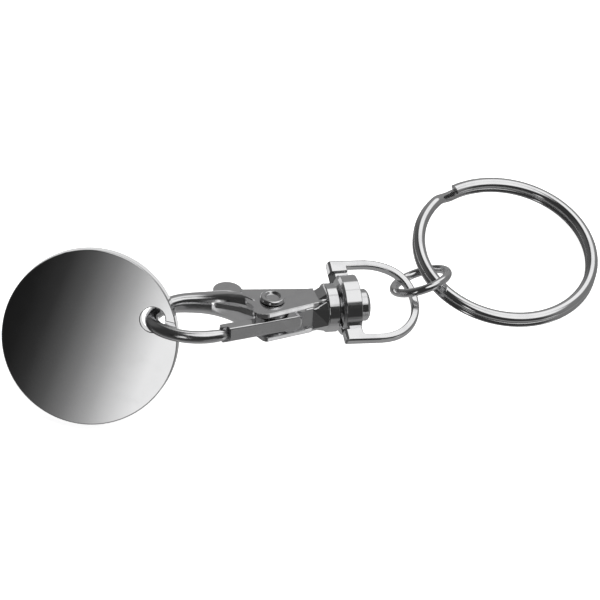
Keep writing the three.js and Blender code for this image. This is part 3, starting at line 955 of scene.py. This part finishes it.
@dataclass
class GateLever:
    """The trigger lever: gate bar, hub between the cheeks and thumb tab."""

    hub_diameter: float = 4.6
    hub_depth: float = 2.8
    # Depth and diameter of the rivet's bore and of the spring's pocket
    holes: tuple[Point2, ...] = ((3.2, 1.9), (2.02, 3.3))
    tab_thickness: float = 1.0
    tab_radius: float = 1.95
    tab_centre: Point2 = (-13.304, 5.3)
    tab_root: tuple[Point2, ...] = ((-10.602, -0.612), (-7.936, 1.7), (-9.548, 3.196))
    tab_back: tuple[Point2, ...] = ((-15.5, 4.2), (-15.6, 2.6), (-12.892, 1.296))
    tab_edge: float = 0.14
    gate_width: float = 1.5
    gate_depth: float = 2.08
    gate_edge: float = 0.2
    gate_end: float = 0.75
    gate_pieces: int = 24
    gate_straight: float = 0.92
    gate: tuple[Point2, ...] = (
        (-16.52, -4.1), (-15.5, -3.97), (-14.368, -3.825), (-12.028, -3.366), (-8.68, -2.74),
        (-6.3, -2.36), (-5.35, -2.22),
    )
    nose_seat: tuple[Point2, ...] = (
        (-18.9, -4.72), (-17.037, -4.6), (-15.709, -4.42), (-15.3, -4.36),
    )
    nose_seat_height: float = 0.12
    nose_seat_diameter: float = 1.94

    def build(self) -> bpy.types.Object:
        """Joins the gate bar, hub and tab, and cuts the bore, the pocket and the nose's seat.

        Returns:
            The lever.
        """
        bar = self.gate_bar()
        combine(bar, upright_pin("hub", self.hub_depth, self.hub_diameter, PIVOT, 64))
        combine(bar, self.tab())
        for depth, diameter in self.holes:
            combine(bar, upright_pin("hole", depth, diameter, PIVOT), "DIFFERENCE")
        size = self.nose_seat_diameter
        seat = [Station((x, y, self.nose_seat_height), size, size) for x, y in self.nose_seat]
        combine(bar, swept("nose_seat", seat), "DIFFERENCE")
        return bar

    def gate_bar(self) -> bpy.types.Object:
        """Makes the gate: a plate with a rounded end, cut in strips and bent along its line.

        Returns:
            The bar.
        """
        line, marks = smooth_line([(x, y, 0.0) for x, y in self.gate])
        length, half, end = marks[-1], self.gate_depth / 2, self.gate_end
        strip = length / self.gate_pieces * self.gate_straight
        low = [(strip * step, -half) for step in range(self.gate_pieces + 1)]
        corners = [(-1, step * math.pi / 12 - math.pi / 2) for step in range(7)]
        corners += [(1, step * math.pi / 12) for step in range(7)]
        turn = [
            (length - end + end * math.cos(a), side * (half - end) + end * math.sin(a))
            for side, a in corners
        ]
        high = [(x, half) for x, _ in reversed(low)]
        width = self.gate_width
        bar = outlined("gate_lever", [*low, *turn, *high], -width / 2, width / 2)
        place_mesh(bar, Matrix.Rotation(math.pi / 2, 4, "X"))
        tidy_mesh(bar)
        soften(bar, self.gate_edge, 35, 4)
        bend(bar, line)
        return bar

    def tab(self) -> bpy.types.Object:
        """Makes the thumb tab, a thin plate with a round end.

        Returns:
            The plate.
        """
        x, y = self.tab_centre
        angles = [step / 16 * math.pi for step in range(17)]
        radius = self.tab_radius
        end = [(x + radius * math.cos(a), y + radius * math.sin(a)) for a in angles]
        half = self.tab_thickness / 2
        plate = outlined("tab", [*self.tab_root, *end, *self.tab_back], -half, half)
        soften(plate, self.tab_edge)
        return plate


@dataclass
class PivotRivet:
    """The rivet that the lever turns on: dimpled head, shank and peened tail."""

    top: float = 2.32
    head: float = 3.38
    head_height: float = 0.52
    shank: float = 1.6
    tail: float = 2.6
    tail_height: float = 0.5
    tail_share: float = 0.55
    rounding: float = 0.06
    # The head from its rim to its dimple: height from the crown, then what the radius loses
    rim: tuple[Point2, ...] = ((-0.24, 0.02), (-0.06, 0.14), (0.0, 0.32))
    # The dimple: height from the crown, then radius as a share of the head's
    dimple: tuple[Point2, ...] = ((0.0, 0.64), (-0.3, 0.5), (-0.34, 0.2))

    def build(self) -> bpy.types.Object:
        """Turns the rivet and rounds its edges.

        Returns:
            The rivet.
        """
        head, tail, shank = self.head / 2, self.tail / 2, self.shank / 2
        crown = self.top + self.head_height
        rivet = turned("pivot_rivet", (
            (-self.top - self.tail_height, tail * self.tail_share),
            (-self.top - self.tail_height * 0.5, tail), (-self.top, tail), (-self.top, shank),
            (self.top, shank), (self.top, head),
            *((crown + height, head - loss) for height, loss in self.rim),
            *((crown + height, head * share) for height, share in self.dimple),
        ), 128)
        soften(rivet, self.rounding, TURNED_ANGLE, clamp=True)
        return stand_up(rivet, PIVOT)


@dataclass
class ClosingSpring:
    """The torsion coil round the rivet, with one leg on the neck and one on the gate."""

    wire: float = 0.28
    radius: float = 1.23
    turns: int = 2
    corners: int = 12
    rise: float = 0.72
    first_leg: float = 0.68
    last_leg: float = -4.98

    def build(self) -> bpy.types.Object:
        """Bends a round wire into the coil.

        Returns:
            The spring.
        """
        x, y = PIVOT
        count = self.corners * self.turns
        half = self.rise * self.turns / 2
        points = [(x - self.first_leg, y - self.radius, -half)]
        for step in range(count + 1):
            angle = -math.pi / 2 + step / self.corners * 2 * math.pi
            height = (step / count - 0.5) * self.rise * self.turns
            across, along = self.radius * math.cos(angle), self.radius * math.sin(angle)
            points.append((x + across, y + along, height))
        points.append((self.last_leg, y - self.radius, half))
        line, marks = smooth_line(points, 6)
        # The last ring but one stands well out on the leg, which leaves the coil in one sweep
        marks[-2] = marks[-3] + marks[-1] - marks[-2]
        ring = Station(points[0], self.wire, self.wire).ring()
        return bent_bar(lofted("closing_spring", [ring] * len(marks), marks), line, 2)


@dataclass
class SwivelStud:
    """The headed stud that the eye turns on."""

    depth: float = 1.2
    shank: float = 2.6
    seat: float = 2.9
    head: float = 4.2
    height: float = 1.56
    # The head's dome as shares of its height and radius
    dome: tuple[Point2, ...] = (
        (0.0, 1.0), (0.62, 1.0), (0.76, 0.955), (0.87, 0.84), (0.95, 0.66), (1.0, 0.4),
        (1.005, 0.1),
    )

    def build(self) -> bpy.types.Object:
        """Turns the stud.

        Returns:
            The stud.
        """
        head, shank = self.head / 2, self.shank / 2
        dome = ((self.seat + self.height * high, head * share) for high, share in self.dome)
        return turned("swivel_stud", ((-self.depth, shank), (self.seat, shank), *dome), 128)


@dataclass
class SwivelEye:
    """The swivel eye: a base with a round boss, two ears and a D-shaped bow."""

    gap: float = 0.35
    width: float = 12.95
    reach: float = 10.75
    wire: float = 1.0
    base: float = 2.34
    top: float = 0.62
    bottom: float = -0.48
    lean: float = 0.43
    lean_reach: float = 7.5
    draft: float = 0.3
    boss: float = 7.8
    # How far the boss's edge is cut back along and inwards, what its far rim loses, its rounding
    boss_chamfer: Point2 = (0.3, 0.5)
    boss_rim: float = 0.06
    boss_rounding: float = 0.05
    # The stud's bore: (place, radius)
    bore: tuple[Point2, ...] = ((-1.0, 1.6), (3.69, 1.6))
    squareness: float = 2.2
    ear: float = 4.72
    ear_start: float = 2.0
    ear_lean: float = 0.9
    edge: float = 0.27
    fillets: Point2 = (0.15, 0.55)
    window_height: float = 2.0
    # The side and the outline, along from the gap and up, of what slopes the base's near edge
    # between the boss and an ear. Above zero it goes on as a step.
    wedges: tuple[tuple[int, tuple[Point2, ...]], ...] = (
        (-1, ((-1.0, -0.6), (-0.25, -0.35), (0.72, 0.7), (0.72, 1.5), (-1.0, 1.5))),
        (1, ((-1.0, -0.6), (-0.25, -0.35), (0.6, 0.3), (3.34, 0.3), (3.34, 1.5), (-1.0, 1.5))),
    )

    def leaned(self, points: Sequence[Point2]) -> list[Point2]:
        """Moves an outline's legs across a little, as the loose eye lies in the photo."""
        return [(x, y + self.lean * max(0.0, 1 - x / self.lean_reach)) for x, y in points]

    def curve(self, radius: float, angle: float) -> Point2:
        """Gives a point of the bow, a half ring a little squarer than a circle.

        Args:
            radius: The half width there.
            angle: The direction from the bow's middle.

        Returns:
            The point.
        """
        across, along = abs(math.sin(angle)), abs(math.cos(angle))
        size = (across ** self.squareness + along ** self.squareness) ** (-1 / self.squareness)
        centre = self.gap + self.reach - self.width / 2
        return centre + radius * math.cos(angle) * size, radius * math.sin(angle) * size

    def corner(self, radius: float) -> list[Point2]:
        """Gives the fillet between the base and a leg, for the side below zero.

        Args:
            radius: The fillet's radius.

        Returns:
            Its points, from the base's edge to the leg.
        """
        edge, inner = self.gap + self.base, self.width / 2 - self.wire
        angles = [step * math.pi / 12 for step in range(7)]
        return [
            (edge + radius * (1 - math.cos(a)), -inner + radius * (1 - math.sin(a)))
            for a in angles
        ]

    def build(self) -> bpy.types.Object:
        """Cuts the D out of a plate, adds the boss and bores it.

        Returns:
            The eye.
        """
        half, radius, edge = self.width / 2, self.boss / 2, self.gap + self.base
        plate = self.bow_plate(half)
        for side, outline in self.wedges:
            combine(plate, self.wedge(side, outline), "DIFFERENCE")
        (along, out), rim = self.boss_chamfer, self.boss_rim
        boss = turned("boss", (
            (self.gap, radius - out), (self.gap + along, radius), (edge, radius),
            (edge + rim, radius - rim),
        ), 128)
        soften(boss, self.boss_rounding, TURNED_ANGLE, clamp=True)
        combine(plate, boss)
        combine(plate, turned("bore", self.bore, 64), "DIFFERENCE")
        return plate

    def bow_plate(self, half: float) -> bpy.types.Object:
        """Makes the flat D with its ears, its underside drawn out by the draft.

        Args:
            half: The D's half width.

        Returns:
            The plate.
        """
        steps = 64
        angles = [(step / steps - 0.5) * math.pi for step in range(steps + 1)]
        bow = [self.curve(half, a) for a in angles]
        outer = self.leaned([(self.gap, -half), *bow, (self.gap, half)])
        plate = outlined("swivel_eye_casting", outer, self.bottom, self.top)
        small, large = self.fillets
        upper = [(x, -y) for x, y in reversed(self.corner(small))]
        bow = [self.curve(half - self.wire, a) for a in angles]
        inner = self.leaned([*self.corner(large), *bow, *upper])
        height = self.window_height
        combine(plate, outlined("window", inner, -height, height), "DIFFERENCE")
        with editing(plate):
            choose(plate, lambda place: place.x < self.gap + 0.05 and place.z < 0)
            bpy.ops.transform.translate(value=(-self.draft, 0, 0))
        soften(plate, self.edge, 40, 4)
        return plate

    def wedge(self, side: int, outline: Sequence[Point2]) -> bpy.types.Object:
        """Makes what is cut from the base's near edge between an ear and the boss.

        Args:
            side: 1 for the side above zero, -1 for the other.
            outline: Its corners, along from the gap and up.

        Returns:
            The solid to cut out.
        """
        far_y = side * self.ear + self.lean * self.ear_lean
        near, far = sorted((side * self.ear_start, far_y))
        wedge = outlined("wedge", [(self.gap + x, z) for x, z in outline], -far, -near)
        place_mesh(wedge, Matrix.Rotation(math.pi / 2, 4, "X"))
        tidy_mesh(wedge)
        return wedge


@dataclass
class JumpRing:
    """The jump ring: round wire bent to a circle, its ends butted together."""

    wire: float = 1.15
    inner: float = 6.2
    seam: float = 0.03
    seam_angle: float = 137.0
    # What the control points lie outside the round wire by
    control_share: float = 1.027
    steps: int = 720
    pieces: int = 64

    def build(self) -> bpy.types.Object:
        """Bends a straight wire into a ring that is closed but for its seam.

        Returns:
            The ring.
        """
        radius = (self.inner + self.wire) / 2
        start = math.radians(self.seam_angle) + self.seam / radius / 2
        sweep = 2 * math.pi - self.seam / radius
        turns = [start + step / self.steps * sweep for step in range(self.steps + 1)]
        line = [Vector((radius * math.cos(a), radius * math.sin(a), 0)) for a in turns]
        half = self.wire / 2 * self.control_share
        quarter = [math.radians(angle) for angle in (15, 45, 75)]
        section = mirrored([(half * math.sin(a), half * math.cos(a)) for a in quarter])
        return drawn("jump_link", section, line, self.pieces)


@dataclass
class SplitRing:
    """The split ring: two turns of flat wire with one joggle."""

    outer: float = 24.6
    wire_width: float = 1.5
    pitch: float = 0.98
    joggle_angle: float = 106.0
    joggle_span: float = 15.6
    end_span: float = 2.6
    end_shift: float = 0.3
    end_reach: float = 26.0
    steps: int = 900
    pieces: int = 150
    quarter: tuple[Point2, ...] = ((0.14, 0.485), (0.4, 0.415), (0.61, 0.28), (0.76, 0.1))

    def build(self) -> bpy.types.Object:
        """Bends a flat wire round twice, with its joggle, its hidden end set a little outwards.

        Returns:
            The ring.
        """
        radius = (self.outer - self.wire_width) / 2
        first = self.joggle_angle - self.joggle_span / 2 - self.end_span
        joggle = self.joggle_angle + self.joggle_span / 2 - 360
        last = joggle + self.end_span - 360
        line = []
        for step in range(self.steps + 1):
            angle = first + (last - first) * step / self.steps
            share = min(max((joggle - angle) / self.joggle_span, 0.0), 1.0)
            drop = share * share * (3 - 2 * share)
            away = radius + self.end_shift * max(0.0, 1 - (angle - last) / self.end_reach)
            turn = math.radians(angle)
            height = self.pitch * (0.5 - drop)
            line.append(Vector((away * math.cos(turn), away * math.sin(turn), height)))
        return drawn("split_coil", mirrored(self.quarter), line, self.pieces)


# Studio


@dataclass(frozen=True)
class SoftBox:
    """A round light in the surroundings, placed by its direction in degrees."""

    azimuth: float
    elevation: float
    radius: float
    edge: float
    tone: float

    def mask(self, sketch: NodeSketch, direction: bpy.types.NodeSocket) -> bpy.types.NodeSocket:
        """Builds the mask of the box.

        Args:
            sketch: The tree to build in.
            direction: The direction that is looked in.

        Returns:
            The mask's socket, 1 inside the box.
        """
        turn, rise = math.radians(self.azimuth), math.radians(self.elevation)
        level = math.cos(rise)
        aim = (math.sin(turn) * level, math.cos(turn) * level, math.sin(rise))
        near = sketch.use(
            "ShaderNodeVectorMath", {0: direction, 1: aim}, "Value", operation="DOT_PRODUCT",
        )
        outer = math.cos(math.radians(self.radius + self.edge))
        inner = math.cos(math.radians(max(self.radius - self.edge, 0.0)))
        return sketch.rise(near, outer, inner)


Glow = tuple[bpy.types.Material, NodeSketch, bpy.types.Node]


def glowing(name: str, strength: float) -> Glow:
    """Starts a material that glows.

    Args:
        name: The material's name.
        strength: How bright it is.

    Returns:
        The material, a sketch of its tree and its glow's node.
    """
    material = bpy.data.materials.new(name)
    material.use_nodes = True
    tree = material.node_tree
    sketch = NodeSketch(tree)
    tree.nodes.remove(tree.nodes["Principled BSDF"])
    glow = sketch.add("ShaderNodeEmission")
    glow.inputs["Strength"].default_value = strength
    sketch.feed(tree.nodes["Material Output"].inputs["Surface"], glow.outputs[0])
    return material, sketch, glow


@dataclass
class Studio:
    """Floor, surroundings, cards, lamp and camera."""

    elevation: float = 54.0
    distance: float = 3.2
    view_width: float = 0.07843
    aim: Point3 = (-0.041, -4.154, 8.641)
    sensor: float = 36.0
    floor_size: float = 3.0
    floor_tone: float = 0.9
    floor_glow: float = 0.9
    above: float = 0.032
    horizon: float = 0.04
    ground: float = 0.3
    # The heights between which the ground turns to the horizon, and the horizon to what is above
    ground_turn: Point2 = (-0.9, -0.1)
    horizon_turn: Point2 = (-0.06, 0.02)
    boxes: tuple[SoftBox, ...] = (
        SoftBox(-50.0, 20.0, 32.0, 16.0, 0.09),
        SoftBox(70.0, 5.0, 48.0, 14.0, 0.19),
        SoftBox(6.0, -2.0, 34.0, 14.0, 0.25),
        SoftBox(25.0, 40.0, 19.0, 5.0, 0.92),
        SoftBox(90.0, 66.0, 25.0, 4.0, 0.9),
        SoftBox(150.0, -18.0, 14.0, 6.0, 0.17),
        SoftBox(127.0, -25.0, 7.5, 3.0, 0.9),
    )
    # The card that the chip mirrors: distance, size, half run and lean of its shading, its tones
    card_reach: float = 0.12
    card_size: float = 0.06
    card_run: float = 0.0135
    card_lean: float = 21.0
    card_tones: tuple[Point2, ...] = (
        (0.0, 0.01), (0.12, 0.013), (0.24, 0.03), (0.36, 0.085), (0.475, 0.19), (0.595, 0.38),
        (0.71, 0.65), (0.8, 0.84), (1.0, 0.92),
    )
    # The card that the chip's rim mirrors: its place on the floor, its size and its glow
    rim_place: Point3 = (-0.034, 0.02, 0.0002)
    rim_size: Point2 = (0.05, 0.045)
    rim_glow: float = 0.72
    lamp_place: Point3 = (0.1, 0.2, 1.0)
    lamp_size: float = 0.8
    lamp_energy: float = 6.0
    lamp_turn: Point3 = (-0.19, 0.1, 0.0)

    def build(self) -> None:
        """Sets up the whole studio."""
        angle = math.radians(self.elevation)
        self.back = Vector((0, -math.cos(angle), math.sin(angle)))
        self.camera()
        self.floor()
        self.sky()
        self.coin_card()
        self.rim_card()
        self.lamp()
        bpy.context.scene.view_settings.view_transform = "Standard"

    def camera(self) -> None:
        """Puts the camera at the photograph's viewing angle, far off and with a long lens."""
        data = bpy.data.cameras.new("camera")
        data.sensor_width = self.sensor
        data.lens = self.sensor * self.distance / self.view_width
        camera = bpy.data.objects.new("camera", data)
        bpy.context.scene.collection.objects.link(camera)
        camera.location = Vector(self.aim) * MILLIMETRE + self.back * self.distance
        camera.rotation_euler = (math.pi / 2 - math.radians(self.elevation), 0, 0)
        bpy.context.scene.camera = camera

    def floor(self) -> None:
        """Lays the pale floor. The metal doesn't mirror it, but sees the surroundings below."""
        material, sketch, glow = glowing("pale_floor", self.floor_glow)
        pale = sketch.use("ShaderNodeBsdfDiffuse", {"Color": (*[self.floor_tone] * 3, 1)})
        lit = sketch.use("ShaderNodeAddShader", {0: pale, 1: glow.outputs[0]})
        sketch.feed(sketch.tree.nodes["Material Output"].inputs["Surface"], lit)
        deselect()
        bpy.ops.mesh.primitive_plane_add(size=self.floor_size, location=(0, 0, 0))
        floor = bpy.context.object
        floor.name = "floor"
        floor.data.materials.append(material)
        floor.visible_glossy = False

    def sky(self) -> None:
        """Builds the surroundings: a dark room, grey to the right, with soft white boxes."""
        world = bpy.data.worlds.new("studio")
        bpy.context.scene.world = world
        world.use_nodes = True
        sketch = NodeSketch(world.node_tree)
        direction = sketch.use("ShaderNodeTexCoord", {}, "Generated")
        height = sketch.use("ShaderNodeSeparateXYZ", {0: direction}, "Z")
        tone = sketch.blend(sketch.rise(height, *self.ground_turn), self.ground, self.horizon)
        tone = sketch.blend(sketch.rise(height, *self.horizon_turn), tone, self.above)
        for box in self.boxes:
            tone = sketch.blend(box.mask(sketch, direction), tone, box.tone)
        seen = sketch.use("ShaderNodeLightPath", {}, "Is Camera Ray")
        background = world.node_tree.nodes["Background"]
        sketch.feed(background.inputs["Color"], sketch.blend(seen, tone, 1.0))

    def mirrored_card(self, name: str, matrix: Matrix, material: bpy.types.Material) -> None:
        """Stands a card of one metre, placed by its matrix, that only the metal mirrors.

        Args:
            name: The card's name.
            matrix: Its place, turn and size.
            material: Its material.
        """
        deselect()
        bpy.ops.mesh.primitive_plane_add(size=1.0)
        card = bpy.context.object
        card.name = name
        card.matrix_world = matrix
        card.data.materials.append(material)
        card.visible_camera = False
        card.visible_diffuse = False
        card.visible_shadow = False

    def coin_card(self) -> None:
        """Stands the shaded card that the chip mirrors."""
        right = Vector((1, 0, 0))
        normal = Vector(COIN_SEAT.up).normalized()
        mirror = Matrix.Identity(3) - 2 * Matrix([[a * b for b in normal] for a in normal])
        away = 2 * normal.dot(self.back) * normal - self.back
        x_axis, y_axis = mirror @ right, mirror @ self.back.cross(right)
        turn = Matrix((x_axis, y_axis, x_axis.cross(y_axis))).transposed().to_4x4()
        place = Vector(COIN_SEAT.origin) * MILLIMETRE + away * self.card_reach
        material, sketch, glow = glowing("shaded_card", 1.0)
        leaned = sketch.use("ShaderNodeMapping", {
            "Vector": sketch.use("ShaderNodeTexCoord", {}, "Object"),
            "Rotation": (0, 0, math.radians(self.card_lean)),
        })
        half = self.card_run / self.card_size
        across = sketch.use("ShaderNodeSeparateXYZ", {0: leaned}, "X")
        run = sketch.rise(across, -half, half, "LINEAR")
        sketch.feed(glow.inputs["Color"], sketch.ramp(run, self.card_tones))
        matrix = Matrix.Translation(place) @ turn @ Matrix.Scale(self.card_size, 4)
        self.mirrored_card("coin_card", matrix, material)

    def rim_card(self) -> None:
        """Lays the pale card behind the chip that the chip's rim mirrors."""
        material, _, _ = glowing("pale_card", self.rim_glow)
        matrix = Matrix.Translation(self.rim_place) @ Matrix.Diagonal((*self.rim_size, 1, 1))
        self.mirrored_card("rim_card", matrix, material)

    def lamp(self) -> None:
        """Hangs one large soft lamp for the floor."""
        data = bpy.data.lights.new("soft_lamp", "AREA")
        data.shape = "SQUARE"
        data.size = self.lamp_size
        data.energy = self.lamp_energy
        lamp = bpy.data.objects.new("soft_lamp", data)
        bpy.context.scene.collection.objects.link(lamp)
        lamp.location = self.lamp_place
        lamp.rotation_euler = self.lamp_turn
        lamp.visible_glossy = False


def main() -> None:
    """Builds every sub-assembly, dresses it and sets up the studio."""
    plating, edges = plating_group(), edge_group()
    looks = {slot: finish.build(plating, edges) for slot, finish in FINISHES.items()}
    rows = (
        (CoinChip(), COIN_SEAT, Body.CHIP, Slot.COIN, "coin", True),
        (HookCasting(), CLASP_SEAT, Body.CLASP, Slot.CAST, "hook_body", True),
        (GateLever(), CLASP_SEAT, Body.LEVER, Slot.CAST, "trigger_lever", True),
        (PivotRivet(), CLASP_SEAT, Body.CLASP, Slot.CAST, "lever_rivet", True),
        (ClosingSpring(), CLASP_SEAT, Body.CLASP, Slot.SPRING, "lever_spring", False),
        (SwivelStud(), CLASP_SEAT, Body.CLASP, Slot.CAST, "swivel_rivet", True),
        (SwivelEye(), EYE_SEAT, Body.EYE, Slot.CAST, "swivel_eye", True),
        (JumpRing(), JUMP_SEAT, Body.LINK, Slot.RING, "jump_ring", False),
        (SplitRing(), SPLIT_SEAT, Body.RING, Slot.RING, "split_ring", False),
    )
    for maker, seat, body, slot, node, level in rows:
        finish_piece(maker.build(), seat, body, node, looks[slot], level)
    Studio().build()


if __name__ == "__main__":
    main()
